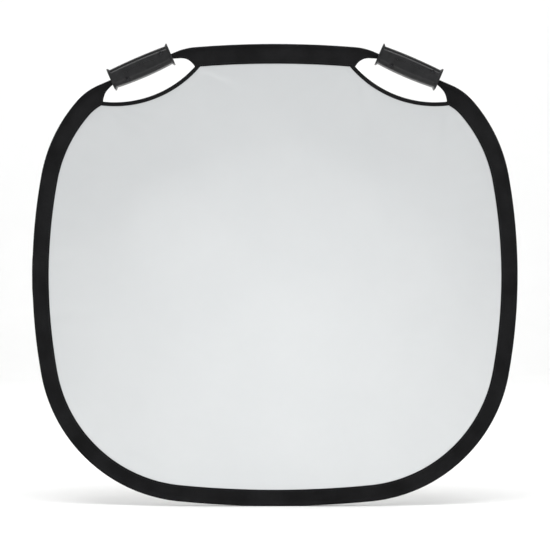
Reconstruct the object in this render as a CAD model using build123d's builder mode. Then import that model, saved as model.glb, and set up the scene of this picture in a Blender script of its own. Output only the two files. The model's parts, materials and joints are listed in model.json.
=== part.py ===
"""Collapsible reflector disc: a sprung steel hoop in a black rim tape, a silver face and a white back,
two hand openings in the upper corners, and a moulded handle clamped on the hoop over each of them.

Frame: +X to the right, +Z up, the silver face looks along -Y. The origin is the middle of the disc.
The hoop bends out of its plane along four upright lines, so everything that crosses them is cut there.
"""

import os

from build123d import *

# The rim's outer outline, seen from the front
HALF_WIDTH = 420.0
HALF_HEIGHT = 400.0
SIDE_RADIUS = 970.0
TOP_RADIUS = 1712.0
CORNER_RADIUS = 268.0
SEAT_X, SEAT_Z = 232.0, 360.2  # middle of the straight stretch that carries a handle
SEAT_TILT = 23.3
SEAT_EASE = 105.0
SEAT_CUT = (300.0, 60.0)

# Spring steel band, standing on edge inside the rim tape
BAND_WIDTH = 7.0
BAND_THICK = 0.9
BAND_FIT = 0.05
BAND_END_GAP = 1.0

# Crimped ferrule that joins the band's two ends, half way up the left side
FERRULE_LENGTH = 44.0
FERRULE_WALL = 0.3
FERRULE_FIT = 0.05

# Rim tape, folded over the band and sewn to the fabric
TAPE = 0.8
BEAD = 2.8  # the tape's fold round the band, measured along the disc
RIM_SIDE = 28.0
RIM_TOP = 34.0
SLEEVE = 8.5  # what is left of the tape where it runs through a handle
EDGE_TAPE = 7.0  # narrow tape round a hand opening

# Fabric
FABRIC = 0.45
FABRIC_GAP = 0.05
FABRIC_START = 6.0  # from the rim's outer edge to the fabric's edge, inside the tape
FABRIC_BACKSET = 3.0  # from a hand opening's edge to the fabric's edge

# Where the hoop bends, and the slots that let it
BENDS = (-112.5, -37.5, 37.5, 112.5)
RIM_SLOT = 2.0
FABRIC_SLOT = 0.4

# Hand opening, in a handle's own plane: y is 0 on the hoop's outer line and grows outwards
OPENING_OUTER = (84.0, -29.0)
OPENING_OUTER_VIA = (76.5, -18.5)
OPENING_INNER = (-86.0, -36.0)
OPENING_INNER_VIA = (-78.0, -20.0)
OPENING_MIDDLE = (0.0, -53.0)
OPENING_NECK = 61.0

# Handle
GRIP_LENGTH = 113.0
GRIP_DEPTH = 13.5  # from the split between the shells to a shell's face
GRIP_OUTER = (15.6, 17.2)  # at the ends, at the middle
GRIP_INNER = (15.4, 18.0)
GRIP_ROUND = 8.0
GRIP_WALL = 2.8
SPINE_WIDTH = 5.4  # the outer side steps down to a spine
SPINE_DEPTH = 8.6
SPINE_ROUND = 3.0
STEP_ROUND = 3.6
FLANGE_THICK = 4.6
FLANGE_SIZE = (37.9, 32.4)
FLANGE_CORNER = 9.0
FLANGE_BEVEL = 2.8  # thins the flange to a lip, on the side of the grip
FLANGE_ROUND = 0.7
RIBS = (-33.0, -11.0, 11.0, 33.0)
RIB_THICK = 2.0
SLEEVE_FIT = 0.15
PAD_LENGTH, PAD_HEIGHT, PAD_SINK = 50.0, 10.0, 0.5  # shallow pad in each shell's face
PAD_Y = -2.0

# Handle screws, a pair driven from each side
SCREW_PLACES = ((40.5, 6.6), (-29.0, -12.0))
SCREW_SEAT = 8.5
SCREW_BITE = 8.0
SCREW_RADIUS = 1.4
HEAD_RADIUS = 2.75
HEAD_HEIGHT = 2.0
HEAD_ROUND = 0.6
DRIVE_ARM, DRIVE_WIDTH, DRIVE_DEPTH = 3.4, 0.9, 1.2
HEAD_HOLE_RADIUS = 3.2
SHANK_HOLE_RADIUS = 1.7
PILOT_RADIUS = 1.45
PILOT_DEPTH = 9.5
BOSS_RADIUS = 4.0

band_half = BAND_WIDTH / 2
bead_half = band_half + BAND_FIT + TAPE
fabric_half = FABRIC + FABRIC_GAP
leaf_half = fabric_half + FABRIC_GAP + TAPE
band_inset = (BEAD - BAND_THICK) / 2
grip_half = GRIP_LENGTH / 2
LARGE = 2000.0


def seat_plane(side, facing=-1):
    """A handle's own plane: x along the hoop, y out of the disc, z to the front (-1) or the back (1)."""
    along = Vector(1, 0, 0).rotate(Axis.Y, side * SEAT_TILT)
    return Plane(origin=(side * SEAT_X, 0, SEAT_Z), x_dir=along * -facing, z_dir=(0, facing, 0))


def rim_outline(inset):
    """The rim's outline, or the line at an even distance inside it: four large arcs that round into each
    other at the corners, cut straight where the handles sit."""
    with BuildSketch(Plane.XZ) as outline:
        with Locations(Location((SIDE_RADIUS - HALF_WIDTH, 0, 0), (0, 0, 90))):
            Circle(SIDE_RADIUS - inset)
        with Locations(Location((HALF_WIDTH - SIDE_RADIUS, 0, 0), (0, 0, 90))):
            Circle(SIDE_RADIUS - inset, mode=Mode.INTERSECT)
        for height in (HALF_HEIGHT - TOP_RADIUS, TOP_RADIUS - HALF_HEIGHT):
            with Locations((0, height)):
                Circle(TOP_RADIUS - inset, mode=Mode.INTERSECT)
        fillet(outline.vertices(), CORNER_RADIUS - inset)
        for side in (-1, 1):
            seat = Location((side * SEAT_X, SEAT_Z, 0), (0, 0, -side * SEAT_TILT))
            with Locations(seat * Location((0, -inset, 0))):
                Rectangle(*SEAT_CUT, align=(Align.CENTER, Align.MIN), mode=Mode.SUBTRACT)
                seat_ends = outline.vertices(Select.LAST)
            fillet(seat_ends, SEAT_EASE - inset)
    return outline.sketch


def hand_opening(side, grow=0.0):
    """The opening under a handle, grown by an even margin on request."""
    with BuildSketch(seat_plane(side)) as opening:
        with BuildLine():
            outer, outer_via, inner, inner_via, outer_neck, inner_neck = (
                (side * x, y)
                for x, y in (
                    OPENING_OUTER,
                    OPENING_OUTER_VIA,
                    OPENING_INNER,
                    OPENING_INNER_VIA,
                    (OPENING_NECK, -SLEEVE),
                    (-OPENING_NECK, -SLEEVE),
                )
            )
            ThreePointArc(outer, OPENING_MIDDLE, inner)
            ThreePointArc(outer, outer_via, outer_neck)
            ThreePointArc(inner, inner_via, inner_neck)
            Line(outer_neck, inner_neck)
        make_face()
        if grow:
            offset(amount=grow)
    return opening.sketch


def ring(outer, inner, half_depth):
    """A closed ring between two insets of the rim's outline, as deep on both sides of the disc's plane."""
    with BuildPart() as made:
        extrude(rim_outline(outer), amount=half_depth, both=True)
        extrude(rim_outline(inner), amount=half_depth, both=True, mode=Mode.SUBTRACT)
    return made.part


def stretch(whole, index, slot):
    """The share of a whole between two neighbouring bends, less half a slot at each."""
    with BuildPart() as made:
        add(whole)
        if index > 0:
            split(bisect_by=Plane.YZ.offset(BENDS[index - 1] + slot), keep=Keep.TOP)
        if index < len(BENDS):
            split(bisect_by=Plane.YZ.offset(BENDS[index] - slot), keep=Keep.BOTTOM)
    return made.part


def save(piece, label):
    """Label a finished piece and write it out."""
    piece.part.label = label
    export_step(piece.part, f"parts/{label}.step")


def band_channel(fit):
    """The ring that the band fills, with an even clearance round it."""
    return ring(band_inset - fit, band_inset + BAND_THICK + fit, band_half + fit)


def whole_band():
    """The spring band as one loop, butted with a small gap half way up the left side."""
    with BuildPart() as band:
        add(band_channel(0))
        with Locations((-HALF_WIDTH, 0, 0)):
            Box(2 * RIM_SIDE, 2 * BAND_WIDTH, BAND_END_GAP, mode=Mode.SUBTRACT)
    return band.part


def ferrule_block(margin):
    """The space round the band's butt joint, out to a margin from the band's faces."""
    length = FERRULE_LENGTH + 2 * (margin - FERRULE_WALL)
    with BuildPart() as block:
        add(band_channel(margin))
        with Locations((-HALF_WIDTH, 0, 0)):
            Box(4 * RIM_SIDE, 2 * BAND_WIDTH, length, mode=Mode.INTERSECT)
    return block.part


def tape_inner_edge():
    """The line where the rim tape ends and bare cloth begins, lower along the top than a plain inset."""
    with BuildSketch(Plane.XZ) as edge:
        add(rim_outline(RIM_SIDE))
        add(rim_outline(RIM_SIDE).moved(Location((0, 0, RIM_SIDE - RIM_TOP))), mode=Mode.INTERSECT)
    return edge.sketch


def whole_rim_tape():
    """The tape as one loop: a fold round the band, then two leaves with the fabric between them.
    The upper leaf is wider, and both are cut away where the hand openings are."""
    with BuildPart() as tape:
        extrude(rim_outline(0), amount=leaf_half, both=True)
        extrude(tape_inner_edge(), amount=leaf_half, both=True, mode=Mode.SUBTRACT)
        for side in (-1, 1):
            extrude(hand_opening(side), amount=leaf_half, both=True, mode=Mode.SUBTRACT)
        add(ring(0, BEAD, bead_half))
        add(band_channel(BAND_FIT), mode=Mode.SUBTRACT)
        extrude(rim_outline(FABRIC_START), amount=fabric_half, both=True, mode=Mode.SUBTRACT)
        add(ferrule_block(FERRULE_WALL + 2 * FERRULE_FIT), mode=Mode.SUBTRACT)
    return tape.part


def whole_cloth(facing):
    """One sheet of cloth, sewn into the rim tape, with both hand openings cut in it."""
    with BuildSketch(Plane.XZ) as cut:
        add(rim_outline(FABRIC_START + FABRIC_GAP))
    with BuildPart() as cloth:
        extrude(cut.sketch, amount=-facing * fabric_half)
        extrude(cut.sketch, amount=-facing * FABRIC_GAP, mode=Mode.SUBTRACT)
        for side in (-1, 1):
            extrude(hand_opening(side, FABRIC_BACKSET), amount=fabric_half, both=True, mode=Mode.SUBTRACT)
    return cloth.part


def opening_tape(side):
    """The narrow tape folded over the cloth's edge, along the lower side of a hand opening."""
    with BuildPart() as tape:
        extrude(hand_opening(side, EDGE_TAPE), amount=leaf_half, both=True)
        extrude(hand_opening(side, EDGE_TAPE), amount=fabric_half, both=True, mode=Mode.SUBTRACT)
        extrude(hand_opening(side, FABRIC_BACKSET - FABRIC_GAP), amount=fabric_half, both=True)
        extrude(hand_opening(side), amount=leaf_half, both=True, mode=Mode.SUBTRACT)
        extrude(tape_inner_edge(), amount=leaf_half, both=True, mode=Mode.INTERSECT)
    return tape.part


def grip_block(inset, outer_inset, overlap):
    """Half a barrel-shaped grip, shrunk by an inset. Its inner long edge is rounded."""
    reach = grip_half - FLANGE_THICK + overlap
    outer_end, outer_middle = (y - outer_inset for y in GRIP_OUTER)
    inner_end, inner_middle = (inset - y for y in GRIP_INNER)
    with BuildPart() as block:
        with BuildSketch():
            with BuildLine():
                outer = ThreePointArc((-reach, outer_end), (0, outer_middle), (reach, outer_end))
                inner = ThreePointArc((-reach, inner_end), (0, inner_middle), (reach, inner_end))
                Line(outer @ 0, inner @ 0)
                Line(outer @ 1, inner @ 1)
            make_face()
        extrude(amount=GRIP_DEPTH - inset)
        face_arcs = block.edges().filter_by(GeomType.CIRCLE).group_by(Axis.Z)[-1]
        fillet(face_arcs.sort_by(Axis.Y)[0], GRIP_ROUND - inset)
    return block.part


def grip_outside():
    """The grip's outer shape: a barrel with a spine along its outer side, a step below the face."""
    with BuildPart() as grip:
        add(grip_block(0, SPINE_WIDTH, FLANGE_THICK / 2))
        face_arcs = grip.edges().filter_by(GeomType.CIRCLE).group_by(Axis.Z)[-1]
        fillet(face_arcs.sort_by(Axis.Y)[-1], STEP_ROUND)
    with BuildPart() as spine:
        add(grip_block(0, 0, FLANGE_THICK / 2))
        split(bisect_by=Plane.XY.offset(SPINE_DEPTH), keep=Keep.BOTTOM)
        split(bisect_by=Plane.XZ, keep=Keep.BOTTOM)
        top_arcs = spine.edges().filter_by(GeomType.CIRCLE).group_by(Axis.Z)[-1]
        fillet(top_arcs.sort_by(Axis.Y)[-1], SPINE_ROUND)
        add(grip.part)
    return spine.part


def grip_inside():
    """What stiffens a shell inside: cross ribs and a boss for each screw."""
    with BuildPart() as inside:
        with Locations([(x, 0, 0) for x in RIBS]):
            Box(RIB_THICK, LARGE, LARGE)
        for x, y in SCREW_PLACES:
            with Locations((x, y, 0), (-x, y, 0)):
                Cylinder(BOSS_RADIUS, LARGE)
        add(grip_block(GRIP_WALL, GRIP_WALL + SPINE_WIDTH, 0), mode=Mode.INTERSECT)
    return inside.part


def handle_flange(end):
    """The flange at one end of a whole handle, thinned to a lip on the side of the grip."""
    with BuildPart() as flange:
        with BuildSketch(Plane.YZ.offset(end * (grip_half - FLANGE_THICK / 2))):
            RectangleRounded(*FLANGE_SIZE, FLANGE_CORNER)
        extrude(amount=FLANGE_THICK / 2, both=True)
        faces = flange.faces().sort_by(Axis.X)
        outer_face, grip_face = (faces[0], faces[-1]) if end < 0 else (faces[-1], faces[0])
        chamfer(grip_face.edges(), FLANGE_BEVEL)
        fillet(outer_face.edges(), FLANGE_ROUND)
    return flange.part


def handle_shell():
    """One half of a handle. Front and back halves are the same moulding, turned end for end."""
    with BuildPart() as shell:
        add(handle_flange(-1))
        add(handle_flange(1))
        split(bisect_by=Plane.XY, keep=Keep.TOP)
        add(grip_outside())
        add(grip_block(GRIP_WALL, GRIP_WALL + SPINE_WIDTH, 0), mode=Mode.SUBTRACT)
        add(grip_inside())
        with Locations([(x, y, GRIP_DEPTH) for x, y in SCREW_PLACES]):
            CounterBoreHole(SHANK_HOLE_RADIUS, HEAD_HOLE_RADIUS, GRIP_DEPTH - SCREW_SEAT)
        with Locations([(-x, y, 0) for x, y in SCREW_PLACES]):
            Cylinder(
                PILOT_RADIUS, PILOT_DEPTH, align=(Align.CENTER, Align.CENTER, Align.MIN), mode=Mode.SUBTRACT
            )
        with Locations((0, -SLEEVE / 2, 0)):
            Box(2 * GRIP_LENGTH, SLEEVE + 2 * SLEEVE_FIT, 2 * (bead_half + SLEEVE_FIT), mode=Mode.SUBTRACT)
        with BuildSketch(Plane.XY.offset(GRIP_DEPTH)):
            with Locations((0, PAD_Y)):
                SlotOverall(PAD_LENGTH, PAD_HEIGHT)
        extrude(amount=-PAD_SINK, mode=Mode.SUBTRACT)
    return shell.part


def handle_screw():
    """A pan-head screw, its axis along Z and the underside of its head on the plane Z = 0."""
    with BuildPart() as screw:
        Cylinder(HEAD_RADIUS, HEAD_HEIGHT, align=(Align.CENTER, Align.CENTER, Align.MIN))
        fillet(screw.faces().sort_by(Axis.Z)[-1].edges(), HEAD_ROUND)
        with BuildSketch(Plane.XY.offset(HEAD_HEIGHT)):
            Rectangle(DRIVE_ARM, DRIVE_WIDTH)
            Rectangle(DRIVE_WIDTH, DRIVE_ARM)
        extrude(amount=-DRIVE_DEPTH, mode=Mode.SUBTRACT)
        Cylinder(SCREW_RADIUS, SCREW_SEAT + SCREW_BITE, align=(Align.CENTER, Align.CENTER, Align.MAX))
    return screw.part


os.makedirs("parts", exist_ok=True)

SIDES = {"left": -1, "right": 1}
FACES = {"front": -1, "back": 1}
STRETCHES = ("left", "left_inner", "centre", "right_inner", "right")

# Everything that crosses a bend: one node for each stretch of each piece
wholes = {
    "hoop_band": (whole_band(), RIM_SLOT),
    "rim_tape": (whole_rim_tape(), RIM_SLOT),
    "silver_face": (whole_cloth(-1), FABRIC_SLOT),
    "white_back": (whole_cloth(1), FABRIC_SLOT),
}
for piece_name, (whole, slot) in wholes.items():
    for index, stretch_name in enumerate(STRETCHES):
        with BuildPart() as piece:
            add(stretch(whole, index, slot))
        save(piece, f"{piece_name}_{stretch_name}")

with BuildPart() as ferrule:
    add(ferrule_block(FERRULE_WALL + FERRULE_FIT))
    add(band_channel(FERRULE_FIT), mode=Mode.SUBTRACT)
save(ferrule, "band_ferrule")

for side_name, side in SIDES.items():
    with BuildPart() as edge_tape:
        add(opening_tape(side))
    save(edge_tape, f"opening_tape_{side_name}")

shell_moulding = handle_shell()
screw_blank = handle_screw()
for side_name, side in SIDES.items():
    for face_name, facing in FACES.items():
        with BuildPart() as handle:
            with Locations(seat_plane(side, facing).location):
                add(shell_moulding)
        save(handle, f"handle_{side_name}_{face_name}")
    with BuildPart() as screws:
        for facing in FACES.values():
            seat = seat_plane(side, facing).offset(SCREW_SEAT)
            with Locations([seat.location * Location((x, y, 0)) for x, y in SCREW_PLACES]):
                add(screw_blank)
    save(screws, f"handle_screws_{side_name}")
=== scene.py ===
"""Collapsible reflector disc: silver and white cloth stretched on a sprung steel hoop, with a black rim
tape, two hand openings and a moulded handle over each. It folds in half, so cloth, tape and band bend.
"""

import json
import math

import bmesh
import bpy
from mathutils import Matrix, Vector, noise
from mathutils.kdtree import KDTree


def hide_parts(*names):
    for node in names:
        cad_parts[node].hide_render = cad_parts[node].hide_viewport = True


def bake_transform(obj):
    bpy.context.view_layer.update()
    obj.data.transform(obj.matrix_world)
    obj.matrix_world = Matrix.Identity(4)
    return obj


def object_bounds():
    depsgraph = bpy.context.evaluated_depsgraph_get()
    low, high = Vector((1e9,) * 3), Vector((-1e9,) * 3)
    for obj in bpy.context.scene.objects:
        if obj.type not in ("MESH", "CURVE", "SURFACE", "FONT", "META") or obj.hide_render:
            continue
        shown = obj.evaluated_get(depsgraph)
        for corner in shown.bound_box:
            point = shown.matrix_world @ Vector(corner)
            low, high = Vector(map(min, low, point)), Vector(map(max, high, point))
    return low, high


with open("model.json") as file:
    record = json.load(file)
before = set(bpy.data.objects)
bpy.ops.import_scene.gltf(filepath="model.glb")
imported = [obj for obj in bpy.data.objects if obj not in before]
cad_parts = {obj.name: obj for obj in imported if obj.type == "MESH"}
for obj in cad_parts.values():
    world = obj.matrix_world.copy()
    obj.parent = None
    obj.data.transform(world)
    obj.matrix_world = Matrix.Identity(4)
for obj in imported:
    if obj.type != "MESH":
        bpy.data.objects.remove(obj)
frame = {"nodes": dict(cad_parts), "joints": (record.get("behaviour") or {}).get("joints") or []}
cad_low, cad_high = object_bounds()
scene = bpy.context.scene


# ---------------------------------------------------------------------------------------------------------
# The hoop's line. A maker bends the spring band to this outline, and tape and cloth are cut to it: four
# large arcs that round into each other, pulled straight where a handle is clamped on.
HALF_WIDTH, HALF_HEIGHT = round(cad_high.x, 3), round(cad_high.z, 3)
SIDE_RADIUS, TOP_RADIUS, CORNER_RADIUS = 0.970, 1.712, 0.268
SEAT = Vector((0.232, 0.3602))  # the middle of the right one
SEAT_ANGLE = math.radians(90 - 23.3)  # which way a seat faces, from +X
SEAT_EASE = 0.105  # radius of the bends at both ends of a seat's straight
STEP, FINE_STEP = 0.0045, 0.0022  # between points of the line, and near a seat


def toward(angle):
    """The direction at an angle from +X, in the disc's plane."""
    return Vector((math.cos(angle), math.sin(angle)))


def angle_of(direction):
    """The angle of a direction in the disc's plane, from +X."""
    return math.atan2(direction.y, direction.x)


SEAT_OUT = toward(SEAT_ANGLE)
SEAT_ALONG = Vector((SEAT_OUT.y, -SEAT_OUT.x))


def where_circles_meet(centre_a, radius_a, centre_b, radius_b):
    """The upper right of the two points where two circles cross."""
    between = centre_b - centre_a
    along = (radius_a**2 - radius_b**2 + between.length_squared) / (2 * between.length)
    across = math.sqrt(radius_a**2 - along**2)
    middle = centre_a + between.normalized() * along
    side = Vector((-between.y, between.x)).normalized() * across
    return max(middle + side, middle - side, key=lambda p: p.x + p.y)


def ease_centre(centre, radius, end):
    """Centre of the bend between a seat's straight and an arc, at the seat's outer (1) or inner (-1) end."""
    base = SEAT - SEAT_OUT * SEAT_EASE
    along = SEAT_ALONG * end
    to_centre = centre - base
    reach = to_centre.dot(along)
    return base + along * (reach + math.sqrt((radius - SEAT_EASE) ** 2 - to_centre.length_squared + reach**2))


def half_line():
    """The right half of the line, from the bottom's middle to the top's: (point, outward direction) pairs."""
    side, top = Vector((HALF_WIDTH - SIDE_RADIUS, 0)), Vector((0, HALF_HEIGHT - TOP_RADIUS))
    corner = where_circles_meet(side, SIDE_RADIUS - CORNER_RADIUS, top, TOP_RADIUS - CORNER_RADIUS)
    side_turn, top_turn = angle_of(corner - side), angle_of(corner - top)
    outer_ease, inner_ease = ease_centre(corner, CORNER_RADIUS, 1), ease_centre(top, TOP_RADIUS, -1)
    outer_turn, inner_turn = angle_of(outer_ease - corner), angle_of(inner_ease - top)
    flip = Vector((1, -1))
    arcs = (
        (top * flip, TOP_RADIUS, -math.pi / 2, -top_turn, STEP),
        (corner * flip, CORNER_RADIUS, -top_turn, -side_turn, STEP),
        (side, SIDE_RADIUS, -side_turn, side_turn, STEP),
        (corner, CORNER_RADIUS, side_turn, outer_turn, STEP),
        (outer_ease, SEAT_EASE, outer_turn, SEAT_ANGLE, FINE_STEP),
        (inner_ease, SEAT_EASE, SEAT_ANGLE, inner_turn, FINE_STEP),
        (top, TOP_RADIUS, inner_turn, math.pi / 2, STEP),
    )
    half = []
    for centre, radius, start, end, step in arcs:
        count = math.ceil(radius * (end - start) / step)
        outs = [toward(start + (end - start) * i / count) for i in range(count)]
        half += [(centre + out * radius, out) for out in outs]
        if centre == outer_ease:
            first, last = outer_ease + SEAT_OUT * SEAT_EASE, inner_ease + SEAT_OUT * SEAT_EASE
            count = math.ceil((last - first).length / FINE_STEP)
            half += [(first.lerp(last, i / count), SEAT_OUT) for i in range(count)]
    return half


right_half = half_line()
left_half = [(Vector((-p.x, p.y)), Vector((-n.x, n.y))) for p, n in right_half[:0:-1]]
line = [*right_half, (Vector((0, HALF_HEIGHT)), Vector((0, 1))), *left_half]
run = [0.0]  # how far round the hoop each point of the line is
for (point, _), (next_point, _) in zip(line, line[1:] + line[:1]):
    run.append(run[-1] + (next_point - point).length)


# ---------------------------------------------------------------------------------------------------------
# Bending. The hoop folds along four upright lines, and cloth, tape and band bend evenly between them, so
# each of them is made whole and parted into four lengths. A length crosses one fold, its ends are closed,
# and it keeps the whole piece's surface directions, so that no seam shows.
LENGTHS = ("left_wing", "left_middle", "right_middle", "right_wing")
STANDS_FOR = (("left", "left_inner"), ("centre",), ("right_inner",), ("right",))
fold_lines = sorted(joint["pos_m"][0] for joint in frame["joints"])
half_strip = (fold_lines[1] - fold_lines[0]) / 2
FAR = 1.0  # well past the disc on either side
cuts = [-FAR, *(round(x + half_strip, 6) for x in fold_lines[:-1]), FAR]
SAME = 1e-6  # corners this close are one corner


def finished(name, bm, material):
    """Turn a bmesh into a shown object of one material."""
    mesh = bpy.data.meshes.new(name)
    bm.to_mesh(mesh)
    bm.free()
    mesh.materials.append(material)
    made = bpy.data.objects.new(name, mesh)
    scene.collection.objects.link(made)
    return made


def cut_across(bm, places, direction=(1, 0, 0)):
    """Cut every face along parallel planes, at these distances from the origin."""
    for place in places:
        everything = [*bm.verts, *bm.edges, *bm.faces]
        on_plane = Vector(direction) * place
        bmesh.ops.bisect_plane(bm, geom=everything, dist=SAME / 10, plane_co=on_plane, plane_no=direction)


def spot(v):
    """A key for a place in space, the same for meeting corners of two lengths."""
    return tuple(round(c / SAME) for c in v.co)


def in_lengths(name, bm, material, nodes=None):
    """Part a whole piece at the cuts into lengths, and hide the CAD nodes, if given, that each length stands
    for.
    """
    cut_across(bm, cuts[1:-1])
    bm.normal_update()
    directions = {spot(v): v.normal.copy() for v in bm.verts}
    made = []
    for span, (low, high) in enumerate(zip(cuts, cuts[1:])):
        part = bm.copy()
        outside = [f for f in part.faces if not low < f.calc_center_median().x < high]
        bmesh.ops.delete(part, geom=outside, context="FACES")
        caps = set(bmesh.ops.holes_fill(part, edges=[e for e in part.edges if e.is_boundary])["faces"])
        for face in part.faces:
            face.smooth = face not in caps
        piece = finished(f"{name}_{LENGTHS[span]}", part, material)
        corners = []
        for polygon in piece.data.polygons:
            for number in polygon.vertices:
                whole = directions.get(spot(piece.data.vertices[number]), polygon.normal)
                corners.append(whole if polygon.use_smooth else polygon.normal)
        piece.data.normals_split_custom_set(corners)
        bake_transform(piece)
        if nodes:
            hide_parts(*(f"{nodes}_{end}" for end in STANDS_FOR[span]))
        made.append(piece)
    bm.free()
    return made


def lofted_on_line(section):
    """A closed skin along the whole line, from its profile at each point as (inset, depth) pairs. Its UV map
    is in metres, along the line and round the profile.
    """
    profiles = [[Vector(pair) for pair in section(p, n)] for p, n in line]
    rows, columns = len(line), len(profiles[0])
    rounds = []
    for profile in profiles:
        lengths = [0.0]
        for pair, next_pair in zip(profile, profile[1:] + profile[:1]):
            lengths.append(lengths[-1] + (next_pair - pair).length)
        rounds.append(lengths)
    bm = bmesh.new()
    uv = bm.loops.layers.uv.new("UVMap")
    bmesh.ops.create_grid(bm, x_segments=columns, y_segments=rows, size=1, calc_uvs=True)
    for face in bm.faces:
        for loop in face.loops:
            row, column = round(loop[uv].uv.y * rows), round(loop[uv].uv.x * columns)
            loop[uv].uv = (run[row], rounds[row % rows][column])
    for number, v in enumerate(bm.verts):
        row, column = divmod(number, columns + 1)
        point, out = line[row % rows]
        inset, depth = profiles[row % rows][column % columns]
        at = point - out * inset
        v.co = (at.x, depth, at.y)
    bmesh.ops.remove_doubles(bm, verts=bm.verts[:], dist=SAME)
    bmesh.ops.recalc_face_normals(bm, faces=bm.faces[:])
    return bm


# ---------------------------------------------------------------------------------------------------------
# Spring band: blued steel strip, bent to the line and butted in a crimped ferrule at the left side. It
# stands on edge inside the rim tape's fold, and it is what makes the disc spring open.
BAND_INSET, BAND_THICK, BAND_WIDTH = 0.00095, 0.0009, 0.007


def set_stops(ramp, stops):
    """Give a colour ramp its (place, colour) stops."""
    for element, (place, colour) in zip(ramp.color_ramp.elements, (stops[0], stops[-1])):
        element.position, element.color = place, (*colour, 1)
    for place, colour in stops[1:-1]:
        ramp.color_ramp.elements.new(place).color = (*colour, 1)


class Finish:
    """A material with its shader, and short ways to add and join the nodes of a procedural finish."""

    def __init__(self, name, **sockets):
        self.material = bpy.data.materials.new(name)
        self.material.use_nodes = True
        self.tree = self.material.node_tree
        self.shader = self.tree.nodes["Principled BSDF"]
        for socket, value in sockets.items():
            self.shader.inputs[socket.replace("_", " ")].default_value = value

    def add(self, kind, inputs=None, **settings):
        """Add a node. An input is given a value, or the socket that feeds it."""
        made = self.tree.nodes.new(kind)
        for setting, value in settings.items():
            setattr(made, setting, value)
        for socket, value in (inputs or {}).items():
            if isinstance(value, bpy.types.NodeSocket):
                self.tree.links.new(value, made.inputs[socket])
            else:
                made.inputs[socket].default_value = value
        return made

    def place(self, kind="Object", scale=(1, 1, 1)):
        """Coordinates in metres, stretched: Object for a place in the frame, UV for along and across."""
        found = self.add("ShaderNodeTexCoord").outputs[kind]
        return self.add("ShaderNodeMapping", {"Vector": found, "Scale": scale}).outputs["Vector"]

    def speckle(self, place, scale, detail=2.0, roughness=0.5):
        """Soft noise, from 0 to 1 around a half."""
        inputs = {"Vector": place, "Scale": scale, "Detail": detail, "Roughness": roughness}
        return self.add("ShaderNodeTexNoise", inputs).outputs["Fac"]

    def between(self, amount, low, high, start=0.0, stop=1.0):
        """A number that goes from low to high as amount goes from start to stop."""
        inputs = {"Value": amount, "From Min": start, "From Max": stop, "To Min": low, "To Max": high}
        return self.add("ShaderNodeMapRange", inputs).outputs["Result"]

    def colours(self, amount, *stops):
        """A colour that follows amount through (place, colour) stops."""
        ramp = self.add("ShaderNodeValToRGB", {"Fac": amount})
        set_stops(ramp, stops)
        return ramp.outputs["Color"]

    def relief(self, height, depth, strength, under=None):
        """Add relief: a height from 0 to 1 stands for this depth in metres."""
        inputs = {"Height": height, "Distance": depth, "Strength": strength}
        if under:
            inputs["Normal"] = under
        return self.add("ShaderNodeBump", inputs).outputs["Normal"]

    def feed(self, socket, source):
        """Let what comes out of a node drive one of the shader's sockets."""
        self.tree.links.new(source, self.shader.inputs[socket])


blued_steel = Finish("blued_steel", Metallic=1.0)
rolled = blued_steel.speckle(blued_steel.place("UV", (30, 2500, 1)), 1.0, detail=3)
oxide = ((0.3, (0.07, 0.09, 0.14)), (0.7, (0.16, 0.18, 0.22)))
blued_steel.feed("Base Color", blued_steel.colours(rolled, *oxide))
blued_steel.feed("Roughness", blued_steel.between(rolled, 0.28, 0.45))

near, far, edge = BAND_INSET, BAND_INSET + BAND_THICK, BAND_WIDTH / 2
band = lofted_on_line(lambda p, n: ((near, -edge), (near, edge), (far, edge), (far, -edge)))
band_pieces = in_lengths("hoop_band", band, blued_steel.material, nodes="hoop_band")

ferrule_steel = Finish("ferrule_steel", Metallic=1.0)
handled = ferrule_steel.speckle(ferrule_steel.place(), 400, detail=4)
dull = ((0.35, (0.35, 0.35, 0.36)), (0.7, (0.55, 0.55, 0.56)))
ferrule_steel.feed("Base Color", ferrule_steel.colours(handled, *dull))
ferrule_steel.feed("Roughness", ferrule_steel.between(handled, 0.3, 0.5))


def refinish(node_name, finish):
    """Give a CAD node its finish."""
    slots = frame["nodes"][node_name].data.materials
    slots.clear()
    slots.append(finish.material)


refinish("band_ferrule", ferrule_steel)


# ---------------------------------------------------------------------------------------------------------
# Hand openings. Under each handle the cloth is cut to a shallow arc that runs from one side of the handle
# to the other, and the rim tape narrows to a sleeve round the band where it passes through the handle.
OPENING = (Vector((0.084, -0.029)), Vector((0.0, -0.053)), Vector((-0.086, -0.036)))  # along a seat, off it
NECK = 0.057  # along a seat, either way, to where the tape comes out of the handle
SLEEVE = 0.0085  # the tape's width inside a handle
TAPE_SIDE, TAPE_TOP = 0.028, 0.034  # its width at the sides and the bottom, and along the top
FULL_AGAIN = 0.086  # along a seat, either way, where the tape's edge meets the opening's arc
EARLY_FLARE, LATE_FLARE = 0.4, 4  # beyond a handle it widens evenly by this share, then steeply


def arc_through(a, b, c):
    """Centre and radius of the circle through three points."""
    ab, ac = b - a, c - a
    toward_b = Vector((ac.y, -ac.x)) * ab.length_squared
    toward_c = Vector((-ab.y, ab.x)) * ac.length_squared
    centre = a + (toward_b + toward_c) / (2 * (ab.x * ac.y - ab.y * ac.x))
    return centre, (centre - a).length


opening_centre, opening_radius = arc_through(*OPENING)


def seat_place(point):
    """Where a point of the disc's plane lies from its own side's seat: (along the hoop outwards, off it)."""
    from_seat = Vector((abs(point.x), point.y)) - SEAT
    return Vector((from_seat.dot(SEAT_ALONG), from_seat.dot(SEAT_OUT)))


def seat_point(side, place, depth=0.0):
    """The point of the frame at a place on a side's seat."""
    at = SEAT + SEAT_ALONG * place.x + SEAT_OUT * place.y
    return Vector((side * at.x, depth, at.y))


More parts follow.
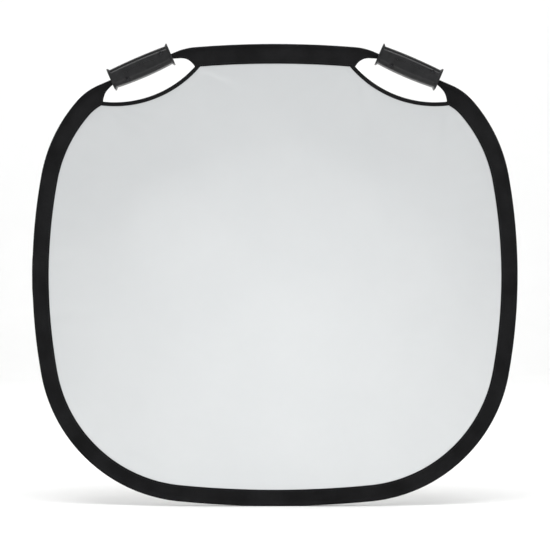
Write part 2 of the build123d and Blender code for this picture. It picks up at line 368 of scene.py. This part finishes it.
def tape_width(point, out):
    """How far the rim tape reaches in from the line."""
    full = TAPE_SIDE + (TAPE_TOP - TAPE_SIDE) * max(out.y, 0)
    along = abs(seat_place(point - out * full).x)
    if point.y < 0 or along > FULL_AGAIN:
        return full
    share = max((along - NECK) / (FULL_AGAIN - NECK), 0)
    return SLEEVE + (full - SLEEVE) * (EARLY_FLARE * share + (1 - EARLY_FLARE) * share**LATE_FLARE)


# ---------------------------------------------------------------------------------------------------------
# Rim tape: black ribbed nylon binding, folded once round the band and sewn through both cloths near its
# inner edge. It bulges a little over the ferrule, and it puckers slightly where the thread draws it in.
# The fold's profile is in millimetres, and so are the depths of the leaf that it runs into.
FOLD_OUTSIDE = ((0, 0), (0, 2.5), (0.2, 3.5), (0.8, 4.15), (1.8, 4.35), (3.0, 4.25), (4.2, 3.8), (5.6, 2.9))
FOLD_INSIDE = ((5.2, 1.9), (4.0, 3.1), (3.0, 3.5), (1.8, 3.55), (1.0, 3.4), (0.8, 2.5), (0.8, 0))
LEAF = ((0, 2.2), (0.2, 1.8), (0.6, 1.65), (0.93, 1.5), (1, 1.1))  # share of the leaf, depth
LEAF_START = 0.0070  # how far in the fold ends and a leaf begins
LEAF_UNDER, LEAF_BEVEL = 0.0006, 0.00015  # depth of a leaf's underside, and the slant of its edge
FERRULE_REACH, FERRULE_EASE, FERRULE_BULGE = 0.026, 0.012, 0.00045  # half its length, beyond it, height
DRAW, DRAW_SIZE = 0.00012, 0.009  # height and size of the puckers that the thread draws


def both_sides(front):
    """A closed profile, from its front half as (inset, depth) pairs and the same half on the back."""
    return front + [(inset, -depth) for inset, depth in front[-2:0:-1]]


def swollen(fold, bulge):
    """A side of the fold, in metres, pushed outwards and apart by the bulge."""
    return [(inset / 1000 - bulge, depth / 1000 + bulge * min(depth, 1)) for inset, depth in fold]


def tape_section(point, out):
    """The tape's profile: over the fold, in to one edge, back under the leaf, and the same on the back."""
    width = tape_width(point, out)
    past = (abs(point.y) - FERRULE_REACH) / FERRULE_EASE
    bulge = FERRULE_BULGE * min(max(1 - past, 0), 1) if point.x < 0 else 0
    draw = DRAW * noise.noise(Vector((*point, 0)) / DRAW_SIZE)
    leaf = [(LEAF_START + (width - LEAF_START) * share, depth / 1000 + draw) for share, depth in LEAF]
    under = [(width - LEAF_BEVEL, LEAF_UNDER), (LEAF_START, LEAF_UNDER)]
    return both_sides(swollen(FOLD_OUTSIDE, bulge) + leaf + under + swollen(FOLD_INSIDE, bulge))


def tape_finish(name, dark, light):
    """Ribbed nylon tape: fine ribs across it, and single threads that are paler where it is worn."""
    finish = Finish(name, Roughness=0.75, Specular_IOR_Level=0.12, Sheen_Weight=0.06, Sheen_Roughness=0.4)
    along_tape = finish.place("UV")
    ridges = {"Vector": along_tape, "Scale": 260, "Distortion": 0.4, "Detail": 1.0}
    ribs = finish.add("ShaderNodeTexWave", ridges).outputs["Fac"]
    threads = finish.speckle(finish.place("UV", (300, 2600, 1)), 1.0, detail=2)
    wear = finish.speckle(finish.place(), 22, detail=4)
    tone = finish.add("ShaderNodeMath", {0: threads, 1: wear}, operation="MULTIPLY").outputs["Value"]
    finish.feed("Base Color", finish.colours(tone, (0.12, dark), (0.45, light)))
    woven = finish.relief(threads, 0.0001, 0.35)
    finish.feed("Normal", finish.relief(ribs, 0.00025, 0.5, under=woven))
    return finish


binding = tape_finish("black_tape", (0.0025, 0.0025, 0.0028), (0.012, 0.012, 0.013))
tape = lofted_on_line(tape_section)
tape_pieces = in_lengths("rim_tape", tape, binding.material, nodes="rim_tape")


# ---------------------------------------------------------------------------------------------------------
# Cloths: a silver coated face and a white back, cut together and both stretched by the hoop. They are cut
# short of the band and to the arc of each opening, and pucker a little where the tapes hold them.
CLOTH_EDGE = 0.017  # from the line in to the cut edge, inside the rim tape
CLOTH_CELL = 0.005
EDGE_TAPE, CLOTH_IN_EDGE_TAPE = 0.007, 0.004  # the edge tape's width, and how far the cloth goes into it
# Of each kind of wrinkle: its height, its length, how far in it reaches, how far from a tape it starts.
PUCKER, PUCKER_LENGTH, PUCKER_REACH, PUCKER_START = 0.0009, 0.024, 0.030, 0.008
DRAG, DRAG_REACH, DRAG_START, DRAG_FOLDS = 0.0022, 0.045, 0.008, 4.2  # folds that fan out from a corner
CORNERS_APART, SIDES_APART = 100, 3  # so that no two corners have the same folds
SWELL, SWELL_SIZE, SWELL_START, SWELL_LAYER = 0.0022, 0.26, 0.14, 0.3

near_line = KDTree(len(line))
for number, (point, _) in enumerate(line):
    near_line.insert((*point, 0), number)
near_line.balance()


def cloth_edge(point, out):
    """The cloth's cut edge: level with the line, and on an opening's arc where that lies further in."""
    at = point - out * CLOTH_EDGE
    from_centre = seat_place(at) - opening_centre
    radius = opening_radius + EDGE_TAPE - CLOTH_IN_EDGE_TAPE
    if at.y < 0 or from_centre.length > radius:
        return Vector((at.x, 0, at.y))
    return seat_point(math.copysign(1, at.x), opening_centre + from_centre.normalized() * radius)


def ripple(at):
    """How far the cloth stands off its plane: puckers at the tapes, folds at the corners, a slow swell."""
    number = near_line.find((*at, 0))[1]
    point, out = line[number]
    inset = (point - at).dot(out)
    along = run[number] + (at - point).dot(Vector((-out.y, out.x)))
    free = inset - tape_width(point, out)
    place = seat_place(at)
    if at.y > 0:
        free = min(free, (place - opening_centre).length - opening_radius - EDGE_TAPE)
    free = max(free, 0)
    pucker = PUCKER * noise.noise(Vector((along / PUCKER_LENGTH, 0, 0))) * math.exp(-free / PUCKER_REACH)
    pucker *= free / (free + PUCKER_START)
    drag = 0
    if at.y > 0:
        for end in (OPENING[0], OPENING[2]):
            arm = place - end
            corner = (end.x * CORNERS_APART, math.copysign(SIDES_APART, at.x))
            fan = noise.noise(Vector((angle_of(arm) * DRAG_FOLDS, *corner)))
            drag += DRAG * fan * math.exp(-arm.length / DRAG_REACH) * free / (free + DRAG_START)
    swell = SWELL * noise.noise(Vector((*at, SWELL_LAYER)) / SWELL_SIZE) * min(free / SWELL_START, 1) ** 2
    return pucker + drag + swell


def cells(half):
    """Even places between -half and half, about a cell apart, without the ends."""
    count = round(2 * half / CLOTH_CELL)
    return [-half + 2 * half * i / count for i in range(1, count)]


cut_cloth = bmesh.new()
cloth_uv = cut_cloth.loops.layers.uv.new("UVMap")
bmesh.ops.create_circle(cut_cloth, cap_ends=True, segments=len(line), radius=1)
for v, (point, out) in zip(cut_cloth.verts, line):
    v.co = cloth_edge(point, out)
cut_across(cut_cloth, cells(HALF_WIDTH))
cut_across(cut_cloth, cells(HALF_HEIGHT), direction=(0, 0, 1))
for face in cut_cloth.faces:
    for loop in face.loops:
        loop[cloth_uv].uv = loop.vert.co.xz
for v in cut_cloth.verts:
    v.co.y = ripple(v.co.xz)


def cloth_layer(depth, thickness):
    """One cloth: the cut sheet, laid at its depth and given its thickness."""
    bm = cut_cloth.copy()
    bmesh.ops.translate(bm, verts=bm.verts[:], vec=(0, depth, 0))
    grown = bmesh.ops.extrude_face_region(bm, geom=bm.faces[:])["geom"]
    moved = [v for v in grown if isinstance(v, bmesh.types.BMVert)]
    bmesh.ops.translate(bm, verts=moved, vec=(0, thickness, 0))
    bmesh.ops.recalc_face_normals(bm, faces=bm.faces[:])
    return bm


def plain_weave(finish, in_cloth):
    """The height of fine threads that cross each other, warp along the cloth and weft across it."""
    threads = {"Vector": in_cloth, "Scale": 420, "Distortion": 0.6}
    warp = finish.add("ShaderNodeTexWave", threads).outputs["Fac"]
    weft = finish.add("ShaderNodeTexWave", threads, bands_direction="Y").outputs["Fac"]
    return finish.add("ShaderNodeMath", {0: warp, 1: weft}, operation="MAXIMUM").outputs["Value"]


silver = Finish("silver_cloth", Metallic=0.92, Specular_IOR_Level=0.4)
in_cloth = silver.place("UV")
creased = silver.speckle(in_cloth, 60, detail=5, roughness=0.6)
cloudy = silver.speckle(in_cloth, 7, detail=3)
silver.feed("Base Color", silver.colours(cloudy, (0.3, (0.655, 0.669, 0.674)), (0.7, (0.673, 0.686, 0.690))))
silver.feed("Roughness", silver.between(creased, 0.435, 0.465, start=0.3, stop=0.7))
woven = silver.relief(plain_weave(silver, in_cloth), 0.00006, 0.25)
silver.feed("Normal", silver.relief(creased, 0.0004, 0.03, under=woven))

white = Finish("white_cloth", Roughness=0.82, Specular_IOR_Level=0.25, Sheen_Weight=0.1)
in_cloth = white.place("UV")
cloudy = white.speckle(in_cloth, 9, detail=4)
white.feed("Base Color", white.colours(cloudy, (0.3, (0.755, 0.755, 0.745)), (0.7, (0.775, 0.775, 0.77))))
white.feed("Normal", white.relief(plain_weave(white, in_cloth), 0.0001, 0.4))

CLOTH_THICK = 0.00045
SILVER_FRONT, WHITE_FRONT = -0.0005, 0.00005
LAYERS = (
    ("silver_face", silver, "silver_cloth", SILVER_FRONT),
    ("white_back", white, "white_cloth", WHITE_FRONT),
)
for name, finish, slot_name, depth in LAYERS:
    layer = cloth_layer(depth, CLOTH_THICK)
    cloth_pieces = in_lengths(name, layer, finish.material, nodes=name)
cut_cloth.free()


# ---------------------------------------------------------------------------------------------------------
# Edge tapes: narrower binding, folded over the cloth's cut edge along each opening and sewn down. Their
# ends are tucked under the rim tape. The profile is in millimetres, from the opening's arc into the cloth.
EDGE_OUTSIDE = ((0, 0), (0.1, 0.7), (0.5, 1.2), (1.2, 1.35), (4.0, 1.3), (6.4, 1.25), (7.0, 0.95), (6.9, 0.6))
EDGE_INSIDE = ((1.2, 0.55), (0.8, 0))
EDGE_TUCK = 0.009  # how far each end runs on under the rim tape
EDGE_STEPS = 72

edge_profile = both_sides([(inset / 1000, depth / 1000) for inset, depth in EDGE_OUTSIDE + EDGE_INSIDE])
edge_start = angle_of(OPENING[2] - opening_centre) - EDGE_TUCK / opening_radius
edge_end = angle_of(OPENING[0] - opening_centre) + EDGE_TUCK / opening_radius
edge_turn = edge_end - edge_start
for side, side_name in ((-1, "left"), (1, "right")):
    bm = bmesh.new()
    first = opening_centre + toward(edge_start) * opening_radius
    verts = []
    for inset, depth in edge_profile:
        verts.append(bm.verts.new(seat_point(side, first + toward(edge_start) * inset, depth)))
    edges = [bm.edges.new(pair) for pair in zip(verts, verts[1:] + verts[:1])]
    middle, axis = seat_point(side, opening_centre), (0, -side, 0)
    bmesh.ops.spin(bm, geom=verts + edges, cent=middle, axis=axis, angle=edge_turn, steps=EDGE_STEPS)
    caps = set(bmesh.ops.holes_fill(bm, edges=[e for e in bm.edges if e.is_boundary])["faces"])
    bmesh.ops.recalc_face_normals(bm, faces=bm.faces[:])
    uv = bm.loops.layers.uv.new("UVMap")
    for face in bm.faces:
        face.smooth = face not in caps
        for loop in face.loops:
            arm = seat_place(loop.vert.co.xz) - opening_centre
            loop[uv].uv = (angle_of(arm) * opening_radius, arm.length + loop.vert.co.y)
    piece = finished(f"opening_edge_tape_{side_name}", bm, binding.material)
    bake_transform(piece)
    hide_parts(f"opening_tape_{side_name}")


# ---------------------------------------------------------------------------------------------------------
# Stitching: black thread, one row near the inner edge of the rim tape and one along each edge tape, through
# every layer, so that it shows on the front and the back. It is what holds the tapes to the cloths.
STITCH, STITCH_PITCH, THREAD = 0.0030, 0.0040, 0.00055
STITCHES_AT_ONCE = 32
RIM_SEAM, EDGE_SEAM = 0.0032, 0.0055  # in from the rim tape's inner edge, and from an opening's arc
RIM_SEAM_DEPTH, EDGE_SEAM_DEPTH = 0.00155, 0.00128  # half sunk in the tapes' faces


def stitch_places(path, depth):
    """Where stitches lie end to end along a path in the disc's plane, on the front and on the back."""
    places, left_over = [], STITCH_PITCH / 2
    for here, there in zip(path, path[1:]):
        way = there - here
        while left_over < way.length:
            at = here + way.normalized() * left_over
            turn = Vector((way.x, 0, way.y)).to_track_quat("Z", "Y").to_matrix().to_4x4()
            places += [Matrix.Translation((at.x, face * depth, at.y)) @ turn for face in (-1, 1)]
            left_over += STITCH_PITCH
        left_over -= way.length
    return places


def sew(bm, places):
    """Add a stitch at each place, a few dozen at a time, because a small mesh grows faster."""
    shape = Matrix.Diagonal((THREAD / 2, THREAD / 2, STITCH / 2, 1))
    for first in range(0, len(places), STITCHES_AT_ONCE):
        few, mesh = bmesh.new(), bpy.data.meshes.new("stitches")
        for place in places[first : first + STITCHES_AT_ONCE]:
            bmesh.ops.create_uvsphere(few, u_segments=6, v_segments=4, radius=1, matrix=place @ shape)
        few.to_mesh(mesh)
        few.free()
        bm.from_mesh(mesh)
        bpy.data.meshes.remove(mesh)


thread = Finish("black_thread", Roughness=0.6, Specular_IOR_Level=0.3)
twist = thread.add("ShaderNodeTexWave", {"Vector": thread.place(), "Scale": 900}, bands_direction="DIAGONAL")
plies = ((0.2, (0.006, 0.006, 0.007)), (0.8, (0.022, 0.022, 0.024)))
thread.feed("Base Color", thread.colours(twist.outputs["Fac"], *plies))

seams = bmesh.new()
rim_seam = [p - n * (tape_width(p, n) - RIM_SEAM) for p, n in line + line[:1]]
sew(seams, stitch_places(rim_seam, RIM_SEAM_DEPTH))
for side in (-1, 1):
    turns = [edge_start + edge_turn * i / EDGE_STEPS for i in range(EDGE_STEPS + 1)]
    places = [opening_centre + toward(turn) * (opening_radius + EDGE_SEAM) for turn in turns]
    sew(seams, stitch_places([seat_point(side, place).xz for place in places], EDGE_SEAM_DEPTH))
in_lengths("stitching", seams, thread.material)

# With everything sewn, what each length of tape was cut to.
for piece, band_piece, (low, high) in zip(tape_pieces, band_pieces, zip(cuts, cuts[1:])):
    steps = zip(line, line[1:] + line[:1])
    length = sum((q - p).length for (p, _), (q, _) in steps if low < (p.x + q.x) / 2 < high)


# ---------------------------------------------------------------------------------------------------------
# Handles: two glass-filled nylon shells clamped over the sleeve at each seat, closed by black screws. The
# shells are CAD nodes; the mould's fine spark-eroded grain and faint scuffs are in their finish.
shell = Finish("handle_plastic", Specular_IOR_Level=0.34)
in_shell = shell.place()
grain = shell.speckle(in_shell, 1500, detail=2)
scuffs = shell.speckle(shell.place("Object", (60, 60, 60)), 1.0, detail=6, roughness=0.65)
worn = ((0.40, (0.005, 0.005, 0.0055)), (0.60, (0.010, 0.010, 0.0108)), (0.72, (0.020, 0.020, 0.021)))
shell.feed("Base Color", shell.colours(scuffs, *worn))
shell.feed("Roughness", shell.between(scuffs, 0.27, 0.42, start=0.35, stop=0.7))
shell.feed("Normal", shell.relief(grain, 0.00012, 0.35))

screw_steel = Finish("blackened_screws", Metallic=1.0)
turned = screw_steel.speckle(screw_steel.place(), 900, detail=3)
blackened = ((0.3, (0.035, 0.035, 0.038)), (0.7, (0.09, 0.09, 0.095)))
screw_steel.feed("Base Color", screw_steel.colours(turned, *blackened))
screw_steel.feed("Roughness", screw_steel.between(turned, 0.3, 0.5))

for name in frame["nodes"]:
    if name.startswith("handle_screws"):
        refinish(name, screw_steel)
    elif name.startswith("handle_"):
        refinish(name, shell)


# ---------------------------------------------------------------------------------------------------------
# Studio: a white paper floor that sweeps up into a wall, an overhead soft light, a weak low one from the
# front, one that washes the wall, and a pale surround, dimmer part of the way up. The camera looks straight
# at the silver face.
FLOOR_FRONT, SWEEP_START, SWEEP_RADIUS, SWEEP_STEPS, WALL_RISE, HALF_FLOOR = -7.0, 2.8, 1.2, 24, 5.0, 7.0
SURROUND = (  # how far up a direction points, and the surround's colour there
    (0.0, (0.98, 0.99, 1)),
    (0.36, (0.42, 0.425, 0.43)),
    (0.72, (0.62, 0.62, 0.62)),
    (1.0, (0.72, 0.72, 0.72)),
)

bm = bmesh.new()
bmesh.ops.create_grid(bm, x_segments=1, y_segments=1, size=HALF_FLOOR)
floor_level = cad_low.z
for v in bm.verts:
    v.co = (v.co.x, SWEEP_START if v.co.y > 0 else FLOOR_FRONT, floor_level)
back = [e for e in bm.edges if all(v.co.y > 0 for v in e.verts)]
swept = bmesh.ops.spin(
    bm,
    geom=back,
    cent=(0, SWEEP_START, floor_level + SWEEP_RADIUS),
    axis=(1, 0, 0),
    angle=math.pi / 2,
    steps=SWEEP_STEPS,
)["geom_last"]
foot = [e for e in swept if isinstance(e, bmesh.types.BMEdge)]
raised = bmesh.ops.extrude_edge_only(bm, edges=foot)["geom"]
bmesh.ops.translate(bm, verts=[v for v in raised if isinstance(v, bmesh.types.BMVert)], vec=(0, 0, WALL_RISE))
bmesh.ops.recalc_face_normals(bm, faces=bm.faces[:])
for face in bm.faces:
    face.smooth = True
paper = Finish("white_paper", Roughness=0.9)
fibres = paper.speckle(paper.place(), 3, detail=4)
paper.feed("Base Color", paper.colours(fibres, (0.3, (0.885, 0.885, 0.88)), (0.7, (0.90, 0.90, 0.895))))
paper_mesh = bpy.data.meshes.new("studio_floor")
bm.to_mesh(paper_mesh)
bm.free()
paper_mesh.materials.append(paper.material)
floor = bpy.data.objects.new("studio_floor", paper_mesh)
scene.collection.objects.link(floor)

world = bpy.data.worlds.new("surround")
scene.world = world
world.use_nodes = True
nodes, links = world.node_tree.nodes, world.node_tree.links
direction = nodes.new("ShaderNodeTexCoord")
height = nodes.new("ShaderNodeSeparateXYZ")
glow = nodes.new("ShaderNodeValToRGB")
set_stops(glow, SURROUND)
links.new(direction.outputs["Generated"], height.inputs["Vector"])
links.new(height.outputs["Z"], glow.inputs["Fac"])
links.new(glow.outputs["Color"], nodes["Background"].inputs["Color"])

LAMPS = (
    ("overhead", (0, -0.7, 2.3), (0, 0.5, 0), (3.4, 0.8), 58),
    ("low_front", (0.05, -2.6, -0.4), (0, 0, 0), (1.1, 1.1), 9),
    ("wall", (0, 0.9, 3.2), (0, 4.0, 0.2), (7.0, 1.0), 60),
)
for name, place, target, sides, power in LAMPS:
    light = bpy.data.lights.new(name, "AREA")
    light.shape, light.energy = "RECTANGLE", power
    light.size, light.size_y = sides
    lamp = bpy.data.objects.new(name, light)
    lamp.location = place
    lamp.rotation_euler = (Vector(target) - Vector(place)).to_track_quat("-Z", "Y").to_euler()
    scene.collection.objects.link(lamp)

camera_data = bpy.data.cameras.new("camera")
camera_data.lens = 85
camera = bpy.data.objects.new("camera", camera_data)
camera.location = (0, -2.25, 0)
camera.rotation_euler = (math.pi / 2, 0, 0)
scene.collection.objects.link(camera)
scene.camera = camera
scene.view_settings.view_transform = "Standard"
